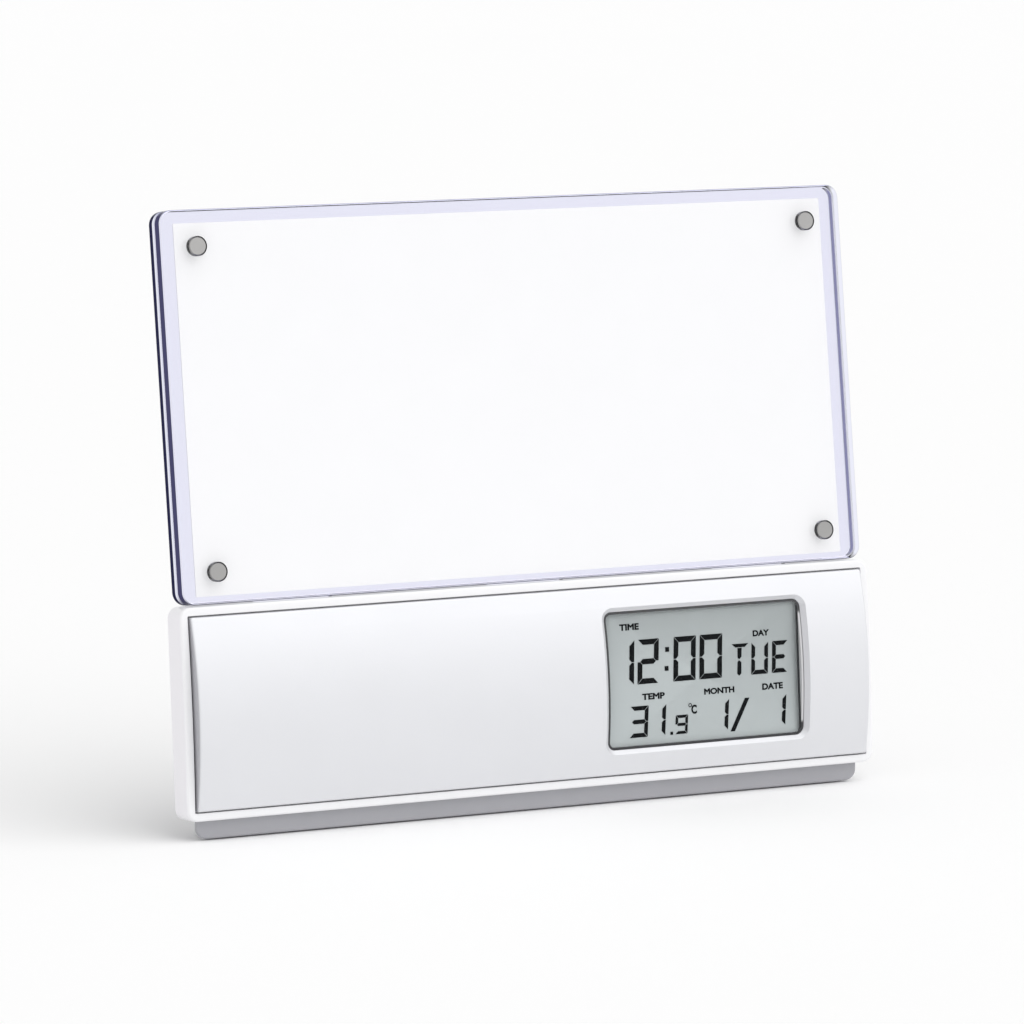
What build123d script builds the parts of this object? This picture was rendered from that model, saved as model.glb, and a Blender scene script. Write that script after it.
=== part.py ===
from build123d import *
import math
import os

# Photo frame clock, in millimetres. X runs to the right, Y to the rear and Z up.
# The origin is on the table, below the middle of the clock's overall width and depth.
# A clear two-plate photo holder stands on a long clock housing. The housing is a white
# bezel with a convex silver panel in front and a tapered cover with a battery pod behind.

# Overall depth on the table, from the panel's bulge to the battery pod's rear edge
overall_depth = 34.0

# Housing seen from the front, and how far it leans back
housing_width = 162.5
housing_height = 43.65
housing_lean = 4.5
housing_corner = 2.4

# Bezel: a tray with a thin rim round the panel
bezel_depth = 5.8
bezel_bow = 0.7
bezel_round = 0.55
bezel_wall = 1.8
bezel_web = 1.6
bezel_inner_corner = 1.2
rim_width = 1.7
recess_depth = 1.5
recess_corner = 0.3

# Silver panel: it stands proud of the rim and bulges further halfway up
panel_gap = 0.35
panel_corner = 0.5
panel_step = 0.8
panel_bow = 2.45
panel_wall = 1.3
panel_round = 0.45
panel_peg_radius = 1.2
panel_peg_tail = 0.8
panel_peg_inset_side = 7.0
panel_peg_inset_end = 5.0

# Display window in the panel
window_inset = 17.8
window_width = 47.7
window_margin = 5.2
window_corner = 1.8
window_chamfer = 0.95
window_land = 1.6
gasket_wall = 0.55
gasket_sink = 0.15
pane_thickness = 0.8

# Display stack behind the window
display_face = 0.2
glass_thickness = 1.1
glass_side_lap = 1.2
glass_end_lap = 1.9
rear_glass_lap = 0.3
reflector_thickness = 0.2
reflector_inset = 0.4
holder_wall = 1.3
holder_end_wall = 0.55
holder_drop = 0.4
strip_width = 1.1
strip_inset = 1.25

# Circuit board and what is on it
board_thickness = 1.2
board_gap = 0.5
board_left_margin = 9.0
board_right_margin = 0.9
board_end_margin = 0.2
board_corner = 1.0
board_ear_length = 5.7
board_ear_width = 8.0
board_screw_inset = 3.2
board_boss_rise = 1.0
chip_cap_radius = 5.0
chip_cap_height = 1.6
chip_cap_slope = 1.2
chip_cap_x = -14.0
chip_cap_y = 4.0
crystal_radius = 1.0
crystal_length = 6.0
crystal_bevel = 0.3
crystal_x = -20.0
crystal_y = -7.0
sensor_bead_radius = 1.2
sensor_leg_radius = 0.25
sensor_leg_length = 4.0
sensor_leg_pitch = 1.2
sensor_x = 10.0
sensor_y = 8.0

# Cover: a tapered shell behind the bezel
cover_inset = 0.8
cover_depth = 9.4
cover_taper = 34.0
cover_wall = 1.6
cover_round = 1.2
cover_lip_height = 1.0
cover_lip_wall = 1.0
cover_screw_inset = 10.5
cover_screw_y = 10.5
boss_radius = 2.9
screw_hole_radius = 1.2
vent_count = 5
vent_width = 1.4
vent_height = 7.0
vent_pitch = 3.6
vent_inset = 31.0
vent_y = 8.0

# Foot: a low plinth under the bezel
foot_height = 4.15
foot_inset = 2.5
foot_depth = 10.4
foot_setback = 2.3
foot_corner = 2.3
foot_edge_round = 0.45
foot_plan_taper = 36.0
foot_web = 6.4
core_count = 3
core_depth = 2.4
core_rib = 2.0
core_wall = 1.6
pad_proud = 0.3
pad_sink = 0.7
pad_length = 12.0
pad_width = 4.2
pad_corner = 1.4
pad_setback = 2.8
pad_inset = 12.0

# Battery pod on the cover
pod_width = 60.0
pod_height = 30.0
pod_lean = 8.0
pod_rise = 5.0
pod_round = 2.0
bay_wall = 1.6
bay_floor = 3.4
cell_radius = 5.25
cell_body_length = 43.5
cell_nub_radius = 1.9
cell_nub_length = 1.0
cell_play = 0.4
contact_room = 3.2
contact_thickness = 0.4
contact_width = 7.0
contact_tail_width = 3.0
contact_reach = 0.1
door_thickness = 1.6
door_lap = 2.4
door_gap = 0.2
door_corner = 1.5
door_tab_width = 6.0
door_tab_thickness = 1.2
door_tab_length = 2.2
door_tab_x = 16.0
door_catch_width = 10.0
door_notch_width = 12.0
door_notch_depth = 0.7
door_grip_count = 4
door_grip_pitch = 1.8
door_grip_width = 0.7
door_grip_share = 0.5

# Buttons and their switches
button_radius = 2.6
button_proud = 1.0
button_flange = 0.8
button_flange_lip = 0.8
button_stem_radius = 1.3
button_bevel = 0.4
button_y = -6.0
button_shares = (0.17, 0.36, 0.55)
button_travel = 0.5
button_gap = 0.1
switch_size = 5.2
switch_height = 2.6
switch_corner = 0.6
plunger_radius = 0.9
plunger_proud = 0.9
plunger_sink = 1.4

# Screws
screw_shank_radius = 0.95
screw_head_radius = 2.0
screw_head_height = 1.1
screw_head_bevel = 0.35
screw_slot_width = 0.5
screw_slot_depth = 0.5
board_screw_length = 3.2
cover_screw_grip = 3.2

# Photo holder: two clear plates with the card between them
frame_inset = 1.2
frame_height = 80.3
frame_lean = 7.7
frame_corner = 2.8
frame_edge_round = 0.6
frame_front_round = 0.3
frame_setback = 0.5
front_plate_thickness = 2.8
rear_plate_thickness = 2.4
card_gap = 0.35
card_thickness = 0.25
card_width = 152.4
card_height = 76.0
card_rise = 1.6
tongue_count = 3
tongue_width = 18.0
tongue_inset = 26.0
tongue_depth = 4.4
magnet_radius = 2.0
magnet_bevel = 0.25
front_magnet_length = 1.8
rear_magnet_length = 1.6
magnet_inset_side = 8.3
magnet_inset_top = 7.5
magnet_inset_bottom = 6.5

# Fits: flat pieces, round pieces in holes, and how far every cut runs past its face
fit = 0.1
round_fit = 0.06
seat_gap = 0.03
overrun = 1.0

# Levels and places that follow from the sizes above
lean = math.radians(housing_lean)
rim_low = pad_proud + foot_height
panel_width = housing_width - 2 * (rim_width + panel_gap)
panel_height = housing_height - 2 * (rim_width + panel_gap)
panel_radius = panel_height ** 2 / (8 * panel_bow) + panel_bow / 2
panel_reach = (panel_step + panel_bow) * math.cos(lean) + panel_radius * (1 - math.cos(lean))
front_y = panel_reach - housing_height / 2 * math.sin(lean) - overall_depth / 2
window_height = panel_height - 2 * window_margin
window_x = housing_width / 2 - window_inset - window_width / 2
cover_screw_x = housing_width / 2 - cover_screw_inset
button_room = housing_width / 2 - pod_width / 2
vent_x = housing_width / 2 - vent_inset
foot_width = housing_width - 2 * foot_inset
frame_width = housing_width - 2 * frame_inset
web_back = -recess_depth - bezel_web
board_front = web_back - board_gap
board_back = board_front - board_thickness
cover_back = -bezel_depth - cover_depth
bezel_inner_width = housing_width - 2 * bezel_wall
bezel_inner_height = housing_height - 2 * bezel_wall
cover_width = housing_width - 2 * cover_inset
cover_height = housing_height - 2 * cover_inset
holder_width = window_width + 2 * (glass_side_lap + holder_wall)
holder_height = window_height + 2 * (glass_end_lap + holder_end_wall)
bay_width = cell_body_length + cell_nub_length + 2 * contact_room
bay_height = 4 * cell_radius + 3 * cell_play
bay_depth = door_thickness + 2 * cell_radius + 2 * cell_play
frame_tilt = math.radians(frame_lean - housing_lean)
pod_rear = overall_depth / 2

# Housing frame: centred on the rim, Y up along the rim and Z out of the front
housing_plane = Plane(
    origin=(
        0,
        front_y + housing_height / 2 * math.sin(lean),
        rim_low + housing_height / 2 * math.cos(lean),
    ),
    x_dir=(1, 0, 0),
    z_dir=(0, -math.cos(lean), math.sin(lean)),
)

# Frame of the photo holder: on the rear plate's front face, at the plates' lower edge
frame_angle = math.radians(frame_lean)
frame_drop = rear_plate_thickness * math.sin(frame_tilt) + seat_gap
frame_back = frame_setback + front_plate_thickness + card_gap
frame_plane = Plane(
    origin=housing_plane.from_local_coords((0, housing_height / 2 + frame_drop, -frame_back)),
    x_dir=(1, 0, 0),
    z_dir=(0, -math.cos(frame_angle), math.sin(frame_angle)),
)

# Frame of the pod's rear face: Y up along the face and Z out of the back
pod_angle = math.radians(pod_lean)
pod_plane = Plane(
    origin=(0, pod_rear, pad_proud),
    x_dir=(-1, 0, 0),
    z_dir=(0, math.cos(pod_angle), math.sin(pod_angle)),
)


def slab(width, height, corner, low, high):
    """A rounded rectangle on the XY plane's centre, drawn out from one level to another."""
    outline = RectangleRounded(width, height, corner)
    return Pos(0, 0, low) * extrude(outline, high - low)


def block(width, height, low, high):
    """A sharp-cornered block on the XY plane's centre between two levels."""
    return Pos(0, 0, low) * Box(width, height, high - low, align=(Align.CENTER, Align.CENTER, Align.MIN))


def post(radius, low, high):
    """A round post along Z between two levels."""
    return Pos(0, 0, low) * Cylinder(radius, high - low, align=(Align.CENTER, Align.CENTER, Align.MIN))


def bowed_block(width, height, back, front, bow):
    """A block whose front is an arc: at front along its upper and lower edges, and bow further halfway up."""
    low = -height / 2
    high = height / 2
    sides = Polyline((low, front), (low, back), (high, back), (high, front))
    face = make_face(sides + ThreePointArc((low, front), (0, front + bow), (high, front)))
    return extrude(Plane.YZ * face, width / 2, both=True)


def bowed_slab(width, height, corner, back, front, bow, edge_round):
    """A bowed block with rounded corners and a rounded edge all along its front."""
    body = bowed_block(width, height, back, front, bow)
    body = fillet(body.edges().filter_by(Axis.Z), corner)
    face = body.faces().sort_by(Axis.Z)[-1]
    return fillet(face.edges(), edge_round)


def corners(x, y):
    """The four places at plus and minus x and y."""
    return [(sx * x, sy * y) for sx in (-1, 1) for sy in (-1, 1)]


def screw(length):
    """A pan-head screw whose head stands on Z zero and whose shank runs down, with a cross recess."""
    head = post(screw_head_radius, 0, screw_head_height)
    head = chamfer(head.edges().group_by(Axis.Z)[-1], screw_head_bevel)
    slot = block(
        2 * screw_shank_radius, screw_slot_width, screw_head_height - screw_slot_depth, screw_head_height + overrun
    )
    head -= slot
    head -= Rot(0, 0, 90) * slot
    return head + post(screw_shank_radius, -length, 0)


def panel_pegs(radius, low, high):
    """Four pegs behind the panel's corners."""
    x = housing_width / 2 - rim_width - panel_peg_inset_side
    y = housing_height / 2 - rim_width - panel_peg_inset_end
    return [Pos(px, py) * post(radius, low, high) for px, py in corners(x, y)]


def front_panel():
    """Convex silver shell with four pegs and a chamfered display window."""
    outer = bowed_slab(panel_width, panel_height, panel_corner, -recess_depth, panel_step, panel_bow, panel_round)
    width = panel_width - 2 * panel_wall
    height = panel_height - 2 * panel_wall
    inner_bow = panel_bow * (height / panel_height) ** 2
    inner_front = panel_step + panel_bow - panel_wall - inner_bow
    body = outer - bowed_block(width, height, -recess_depth - overrun, inner_front, inner_bow)
    land = slab(
        window_width + 2 * window_land,
        window_height + 2 * window_land,
        window_corner + window_land,
        display_face + fit,
        panel_step + panel_bow,
    )
    body += outer & (Pos(window_x, 0) * land)
    for root in panel_pegs(panel_peg_radius, -recess_depth, panel_step + panel_bow):
        body += outer & root
    for tail in panel_pegs(panel_peg_radius, web_back - panel_peg_tail, -recess_depth):
        body += tail
    hole = slab(window_width, window_height, window_corner, display_face - overrun, panel_step + panel_bow + overrun)
    body -= Pos(window_x, 0) * hole
    mouth = [
        edge
        for edge in body.edges()
        if abs(edge.center().X - window_x) <= window_width / 2 + fit
        and abs(edge.center().Y) <= window_height / 2 + fit
        and edge.center().Z > panel_step
    ]
    return chamfer(mouth, window_chamfer)


def display_gasket():
    """Dark liner inside the window; its front edge follows the panel's bulge."""
    drop = window_chamfer + gasket_sink
    frame = slab(
        window_width - 2 * fit,
        window_height - 2 * fit,
        window_corner - fit,
        display_face,
        panel_step + panel_bow,
    )
    frame -= slab(
        window_width - 2 * gasket_wall,
        window_height - 2 * gasket_wall,
        window_corner - gasket_wall,
        display_face - overrun,
        panel_step + panel_bow + overrun,
    )
    frame = Pos(window_x, 0) * frame
    return frame & bowed_block(housing_width, panel_height, display_face, panel_step - drop, panel_bow)


def display_window():
    """Clear pane lying on the cell, inside the liner."""
    width = window_width - 2 * (gasket_wall + fit)
    height = window_height - 2 * (gasket_wall + fit)
    pane = slab(width, height, window_corner - gasket_wall - fit, display_face, display_face + pane_thickness)
    return Pos(window_x, 0) * pane


def display_glass():
    """Two glass sheets of the liquid crystal cell; the front one has contact ledges above and below."""
    front_width = window_width + 2 * glass_side_lap
    front_height = window_height + 2 * glass_end_lap
    rear_height = window_height + 2 * rear_glass_lap
    middle = display_face - glass_thickness
    cell = block(front_width, front_height, middle, display_face)
    cell += block(front_width, rear_height, middle - glass_thickness, middle)
    return Pos(window_x, 0) * cell


def display_reflector():
    """Film on the back of the cell."""
    level = display_face - 2 * glass_thickness
    width = window_width + 2 * (glass_side_lap - reflector_inset)
    height = window_height + 2 * (rear_glass_lap - reflector_inset)
    return Pos(window_x, 0) * block(width, height, level - reflector_thickness, level)


def display_holder():
    """Plastic frame round the cell, standing on the board."""
    low = board_front
    high = display_face - holder_drop
    ring = slab(holder_width, holder_height, board_corner, low, high)
    ring -= block(
        window_width + 2 * (glass_side_lap + fit), window_height + 2 * (glass_end_lap + fit), low - overrun, high + overrun
    )
    return Pos(window_x, 0) * ring


def contact_strips():
    """Two soft contact strips between the cell's ledges and the board."""
    y = window_height / 2 + strip_inset
    return [
        Pos(window_x, side * y) * block(window_width, strip_width, board_front, display_face - glass_thickness)
        for side in (-1, 1)
    ]


def board_edges():
    """Left and right edges and half height of the board, which carries the display holder."""
    left = window_x - holder_width / 2 - board_left_margin
    right = window_x + holder_width / 2 + board_right_margin
    return left, right, holder_height / 2 + board_end_margin


def board_screw_places():
    """Two screws at the board's left corners and one in the ear at its right."""
    left, right, half_height = board_edges()
    x = left + board_screw_inset
    y = half_height - board_screw_inset
    return [(x, -y), (x, y), (right + board_ear_length - screw_head_radius - board_corner, 0)]


def circuit_board():
    """Board with an ear between the cover's screw bosses, and holes for its screws."""
    left, right, half_height = board_edges()
    body = Pos((left + right) / 2, 0) * slab(right - left, 2 * half_height, board_corner, board_back, board_front)
    ear = slab(2 * board_ear_length, board_ear_width, board_corner, board_back, board_front)
    body += Pos(right, 0) * ear
    for px, py in board_screw_places():
        body -= Pos(px, py) * post(screw_shank_radius + fit, board_back - overrun, board_front + overrun)
    return body


def chip_cap():
    """Low cap of potting over the chip, on the back of the board, with a wide slope round its edge."""
    cap = post(chip_cap_radius, board_back - chip_cap_height, board_back)
    cap = chamfer(cap.edges().group_by(Axis.Z)[0], chip_cap_slope)
    return Pos(window_x + chip_cap_x, chip_cap_y) * cap


def clock_crystal():
    """Quartz can lying on the board."""
    can = Rot(0, 90, 0) * Cylinder(crystal_radius, crystal_length)
    can = chamfer(can.edges().filter_by(GeomType.CIRCLE), crystal_bevel)
    return Pos(window_x + crystal_x, crystal_y, board_back - crystal_radius) * can


def temperature_sensor():
    """Bead on two legs that hold it near the vents."""
    low = board_back - sensor_leg_length
    bead = post(sensor_bead_radius, low - 2 * sensor_bead_radius, low)
    bead = chamfer(bead.edges().filter_by(GeomType.CIRCLE), sensor_bead_radius / 2)
    for side in (-1, 1):
        bead += Pos(side * sensor_leg_pitch / 2, 0) * post(sensor_leg_radius, low - sensor_bead_radius, board_back)
    return Pos(window_x + sensor_x, sensor_y) * bead


def bezel():
    """White tray: bowed front rim, recess for the panel, web, and bosses behind."""
    body = bowed_slab(housing_width, housing_height, housing_corner, -bezel_depth, 0, bezel_bow, bezel_round)
    inner_width = housing_width - 2 * rim_width
    inner_height = housing_height - 2 * rim_width
    body -= slab(inner_width, inner_height, recess_corner, -recess_depth, bezel_bow + overrun)
    body -= slab(
        bezel_inner_width, bezel_inner_height, bezel_inner_corner, -bezel_depth - overrun, web_back
    )
    for px, py in corners(cover_screw_x, cover_screw_y):
        body += Pos(px, py) * post(boss_radius, -bezel_depth, web_back)
        body -= Pos(px, py) * post(screw_hole_radius, -bezel_depth - overrun, web_back + bezel_web / 2)
    for px, py in board_screw_places():
        top = board_boss_rise - recess_depth
        body += Pos(px, py) * post(screw_head_radius, board_front, top)
        body -= Pos(px, py) * post(screw_hole_radius, board_front - overrun, top - bezel_web / 2)
    opening = slab(
        holder_width + 2 * fit, holder_height + 2 * fit, board_corner, web_back - overrun, -recess_depth + overrun
    )
    body -= Pos(window_x, 0) * opening
    for hole in panel_pegs(panel_peg_radius + round_fit, web_back - overrun, overrun - recess_depth):
        body -= hole
    body = housing_plane.location * body
    for tongue in tongues(fit):
        body -= tongue
    return body


def tongue_places():
    """Middles of the rear plate's tongues."""
    first = tongue_inset - frame_width / 2
    pitch = -2 * first / (tongue_count - 1)
    return [first + index * pitch for index in range(tongue_count)]


def tongues(grow):
    """The rear plate's tongues, grown by a clearance; they reach up into the plate."""
    shapes = []
    for x in tongue_places():
        tab = Box(
            tongue_width + 2 * grow,
            tongue_depth + frame_corner + grow,
            rear_plate_thickness + 2 * grow,
            align=(Align.CENTER, Align.MIN, Align.MAX),
        )
        shapes.append(frame_plane.location * (Pos(x, -tongue_depth - grow, grow) * tab))
    return shapes


def magnet_places():
    """The four magnets' places on the plates."""
    x = frame_width / 2 - magnet_inset_side
    return [(side * x, y) for side in (-1, 1) for y in (magnet_inset_bottom, frame_height - magnet_inset_top)]


def clear_plate(low, high, front_round):
    """A clear plate with polished, rounded edges; the front ones have a rounding of their own."""
    body = Pos(0, frame_height / 2) * slab(frame_width, frame_height, frame_corner, low, high)
    body = fillet(body.edges().group_by(Axis.Z)[0], frame_edge_round)
    return fillet(body.edges().group_by(Axis.Z)[-1], front_round)


def rear_plate():
    """Rear clear plate with its tongues and magnet pockets."""
    body = clear_plate(-rear_plate_thickness, 0, frame_edge_round)
    for px, py in magnet_places():
        pocket = post(magnet_radius + round_fit, -rear_plate_thickness - overrun, rear_magnet_length - rear_plate_thickness)
        body -= Pos(px, py) * pocket
    body = frame_plane.location * body
    for tongue in tongues(0):
        body += tongue
    return body


def front_plate():
    """Front clear plate with its magnet pockets."""
    high = card_gap + front_plate_thickness
    body = clear_plate(card_gap, high, frame_front_round)
    for px, py in magnet_places():
        body -= Pos(px, py) * post(magnet_radius + round_fit, high - front_magnet_length, high + overrun)
    return frame_plane.location * body


def magnets(low, high, bevel_at_top):
    """Four disc magnets with a bevel on the face that shows."""
    shapes = []
    for px, py in magnet_places():
        disc = post(magnet_radius, low, high)
        rims = disc.edges().filter_by(GeomType.CIRCLE).sort_by(Axis.Z)
        disc = chamfer(rims[-1] if bevel_at_top else rims[0], magnet_bevel)
        shapes.append(frame_plane.location * (Pos(px, py) * disc))
    return shapes


def photo_card():
    """The card, centred in the gap between the plates."""
    low = (card_gap - card_thickness) / 2
    card = block(card_width, card_height, low, low + card_thickness)
    return frame_plane.location * (Pos(0, card_rise + card_height / 2) * card)


def cover_shell():
    """The tapered form behind the bezel and the hollow inside it."""
    outline = RectangleRounded(cover_width, cover_height, housing_corner)
    body = extrude(Pos(0, 0, -bezel_depth) * outline, -cover_depth, taper=cover_taper)
    body = fillet(body.edges().group_by(Axis.Z)[0], cover_round)
    hollow = RectangleRounded(cover_width - 2 * cover_wall, cover_height - 2 * cover_wall, bezel_inner_corner)
    cavity = extrude(Pos(0, 0, -bezel_depth) * hollow, -(cover_depth - cover_wall), taper=cover_taper)
    return body, cavity


def cover_lip():
    """Low wall that stands up inside the bezel and locates the cover."""
    width = bezel_inner_width - 2 * fit
    height = bezel_inner_height - 2 * fit
    lip = slab(width, height, bezel_inner_corner, -bezel_depth, -bezel_depth + cover_lip_height)
    lip -= slab(
        width - 2 * cover_lip_wall,
        height - 2 * cover_lip_wall,
        bezel_inner_corner,
        -bezel_depth - overrun,
        overrun,
    )
    return lip


def foot_block():
    """Plinth under the bezel, narrower to the rear, with rounded lower side edges."""
    y_front = front_y + foot_setback
    y_rear = y_front + foot_depth
    half = foot_width / 2
    rear_half = half - foot_depth * math.tan(math.radians(foot_plan_taper))
    plan = make_face(
        Polyline((-half, y_front), (half, y_front), (rear_half, y_rear), (-rear_half, y_rear), close=True)
    )
    body = extrude(Pos(0, 0, pad_proud) * plan, foot_height + foot_web)
    low_sides = [
        edge
        for edge in body.edges().group_by(Axis.Z)[0]
        if abs(edge.center().X) > rear_half
    ]
    body = fillet(low_sides, foot_corner)
    front = body.faces().sort_by(Axis.Y)[0]
    body = fillet([edge for edge in front.edges() if edge.center().Z < rim_low], foot_edge_round)
    room = Pos(0, 0, -bezel_depth) * Box(
        housing_width + 2 * overrun,
        housing_height,
        bezel_depth + foot_depth,
        align=(Align.CENTER, Align.CENTER, Align.MIN),
    )
    return body - housing_plane.location * room


def foot_cores():
    """Pockets that core the foot out from below, between the pod and the pads, with ribs left between them."""
    y_front = front_y + foot_setback + core_wall
    length = foot_depth - 2 * core_wall
    start = pod_width / 2 + core_wall
    free = foot_width / 2 - pad_inset - pad_length - core_wall - start
    width = (free - (core_count - 1) * core_rib) / core_count
    shapes = []
    for side in (-1, 1):
        for index in range(core_count):
            x = side * (start + width / 2 + index * (width + core_rib))
            pocket = Box(width, length, core_depth + overrun, align=(Align.CENTER, Align.MIN, Align.MIN))
            shapes.append(Pos(x, y_front, pad_proud - overrun) * pocket)
    return shapes


def pad_places():
    """Middles of the four rubber pads: two under the foot's ends and two under the pod."""
    front = front_y + foot_setback + pad_setback + pad_width / 2
    rear = pod_rear - pod_round - pad_width / 2
    wide = foot_width / 2 - pad_inset - pad_length / 2
    narrow = pod_width / 2 - pod_round - pad_length / 2
    return [(-wide, front), (wide, front), (-narrow, rear), (narrow, rear)]


def rubber_feet():
    """Four pads, sunk in the cover and standing a little proud of it."""
    pad = slab(pad_length, pad_width, pad_corner, 0, pad_proud + pad_sink)
    return [Pos(x, y) * pad for x, y in pad_places()]


def pod_wedge(inset, rear_inset):
    """Wedge of the battery pod, drawn in by a wall; its rear face leans forward."""
    inside = front_y + foot_setback + foot_depth - overrun
    low = pad_proud + inset
    top = pad_proud + pod_height - inset
    rear_low = pod_rear - rear_inset - inset * math.tan(pod_angle)
    rear_top = rear_low - (top - low) * math.tan(pod_angle)
    side = make_face(
        Polyline((inside, low), (rear_low, low), (rear_top, top), (inside, top + pod_rise), close=True)
    )
    return extrude(Plane.YZ * side, pod_width / 2 - inset, both=True)


def pod_block():
    """Battery pod with rounded edges above its foot."""
    body = pod_wedge(0, 0)
    inside = front_y + foot_setback + foot_depth
    edges = [
        edge
        for edge in body.edges()
        if edge.center().Z > pad_proud + overrun and edge.center().Y > inside
    ]
    return fillet(edges, pod_round)


def bay_box(grow, low, high):
    """The battery bay as a block in the pod's frame, grown by a wall."""
    width = bay_width + 2 * grow
    height = bay_height + 2 * grow
    bay = Box(width, height, high - low, align=(Align.CENTER, Align.MIN, Align.MIN))
    return pod_plane.location * (Pos(0, bay_floor - grow, low) * bay)


def door_outline(grow):
    """Width, height and lower edge of the door, grown by a gap."""
    width = bay_width + 2 * (door_lap + grow)
    height = bay_height + door_lap + 2 * grow
    return width, height, bay_floor - grow


def door_slab(grow, low, high):
    """The door's plate in the pod's own frame."""
    width, height, base = door_outline(grow)
    return Pos(0, base + height / 2) * slab(width, height, door_corner + grow, low, high)


def door_tabs():
    """Two tabs that slide in along the bay's floor and a wider catch along its ceiling."""
    low = bay_floor + fit + door_tab_thickness / 2
    high = bay_floor + bay_height - fit - door_tab_thickness / 2
    places = [(-door_tab_x, low, door_tab_width), (door_tab_x, low, door_tab_width), (0, high, door_catch_width)]
    shapes = []
    for x, y, width in places:
        tab = Box(width, door_tab_thickness, door_tab_length, align=(Align.CENTER, Align.CENTER, Align.MAX))
        shapes.append(Pos(x, y, -door_thickness) * tab)
    return shapes


def rear_cover():
    """Back shell with foot, battery pod, bay, screw bosses, vents and button holes."""
    outer, cavity = cover_shell()
    outer = housing_plane.location * outer
    cavity = housing_plane.location * cavity
    bay_shell = bay_box(bay_wall, -bay_depth - bay_wall, -door_thickness)
    hollow = cavity + pod_wedge(bay_wall, door_thickness + bay_wall)
    body = outer + foot_block() + pod_block()
    body -= hollow - bay_shell
    body += housing_plane.location * cover_lip()
    level = -bezel_depth
    for px, py in corners(cover_screw_x, cover_screw_y):
        boss = Pos(px, py) * post(boss_radius, cover_back + cover_wall / 2, level)
        body += housing_plane.location * boss
        head = Pos(px, py) * post(screw_head_radius + fit, cover_back - overrun, level - cover_screw_grip)
        hole = Pos(px, py) * post(screw_shank_radius + fit, cover_back - overrun, level + overrun)
        body -= housing_plane.location * head
        body -= housing_plane.location * hole
    body -= bay_box(0, -bay_depth, overrun)
    body -= pod_plane.location * door_slab(door_gap, -door_thickness, overrun)
    for index in range(vent_count):
        x = vent_x + (index - (vent_count - 1) / 2) * vent_pitch
        slot = slab(vent_width, vent_height, vent_width / 2 - fit, cover_back - overrun, cover_back + 2 * cover_wall)
        body -= housing_plane.location * (Pos(x, vent_y) * slot)
    for x in button_places():
        hole = post(button_radius + button_gap, cover_back - overrun, cover_back + 2 * cover_wall)
        body -= housing_plane.location * (Pos(x, button_y) * hole)
    for x, y in pad_places():
        seat = slab(pad_length + 2 * fit, pad_width + 2 * fit, pad_corner + fit, 0, pad_proud + pad_sink)
        body -= Pos(x, y) * seat
    for pocket in foot_cores():
        body -= pocket
    for tongue in tongues(seat_gap):
        body -= tongue
    for tail in contact_tails(fit):
        body -= tail
    return body


def battery_door():
    """Door with two tabs and a catch, a finger notch and grip grooves in its face."""
    width, height, base = door_outline(0)
    body = door_slab(0, -door_thickness, 0)
    for tab in door_tabs():
        body += tab
    top = base + height
    body -= Pos(0, top, -door_notch_depth) * Cylinder(
        door_notch_width / 2, overrun + door_notch_depth, align=(Align.CENTER, Align.CENTER, Align.MIN)
    )
    for index in range(door_grip_count):
        y = base + height * door_grip_share + (index - (door_grip_count - 1) / 2) * door_grip_pitch
        groove = slab(door_notch_width, door_grip_width, door_grip_width / 2 - fit, -door_notch_depth, overrun)
        body -= Pos(0, y) * groove
    return pod_plane.location * body


def cell_places():
    """Heights of the two cells above the pod's lower edge, and their level behind its face."""
    first = bay_floor + cell_play + cell_radius
    level = -door_thickness - cell_play - cell_radius
    return [first, first + 2 * cell_radius + cell_play], level


def batteries():
    """Two cells, nub to opposite ends."""
    heights, level = cell_places()
    shapes = []
    for index, y in enumerate(heights):
        toward = 1 if index == 0 else -1
        body = Rot(0, 90, 0) * Cylinder(cell_radius, cell_body_length)
        body = Pos(-toward * cell_nub_length / 2, 0) * body
        nub = Rot(0, 90, 0) * Cylinder(cell_nub_radius, cell_body_length)
        nub = Pos(toward * cell_nub_length / 2, 0) * nub
        shapes.append(pod_plane.location * (Pos(0, y, level) * (body + nub)))
    return shapes


def contact_leaf(side, y, level):
    """A bowed spring leaf from the bay's end to the cell, with its flat back plate."""
    end = side * bay_width / 2
    reach = contact_room - contact_reach
    half = contact_width / 2
    inner = end - side * contact_thickness
    outer_arc = ThreePointArc((inner, -half), (end - side * reach, 0), (inner, half))
    inner_arc = ThreePointArc((inner, half - contact_thickness), (end - side * (reach - contact_thickness), 0),
                              (inner, contact_thickness - half))
    joins = Line((inner, half), (inner, half - contact_thickness))
    joins += Line((inner, contact_thickness - half), (inner, -half))
    leaf = extrude(make_face(outer_arc + inner_arc + joins), contact_width / 2, both=True)
    return Pos(0, y, level) * (leaf + contact_back(side))


def contact_back(side):
    """Flat plate against the bay's end wall."""
    x = side * (bay_width - contact_thickness) / 2
    return Pos(x, 0) * Box(contact_thickness, contact_width, contact_width)


def contact_button(side, y, level):
    """Plate with a raised button that meets a cell's nub."""
    x = side * (bay_width / 2 - contact_thickness)
    height = contact_room - contact_thickness - contact_reach
    button = Rot(0, 90, 0) * Cylinder(cell_nub_radius, height)
    return Pos(0, y, level) * (contact_back(side) + Pos(x - side * height / 2, 0) * button)


def bridge_contact():
    """Joins the two cells at the end away from the board."""
    heights, level = cell_places()
    side = 1
    body = contact_leaf(side, heights[1], level) + contact_button(side, heights[0], level)
    middle = (heights[0] + heights[1]) / 2
    x = side * (bay_width - contact_thickness) / 2
    body += Pos(x, middle, level) * Box(contact_thickness, heights[1] - heights[0], contact_tail_width)
    return pod_plane.location * body


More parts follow.
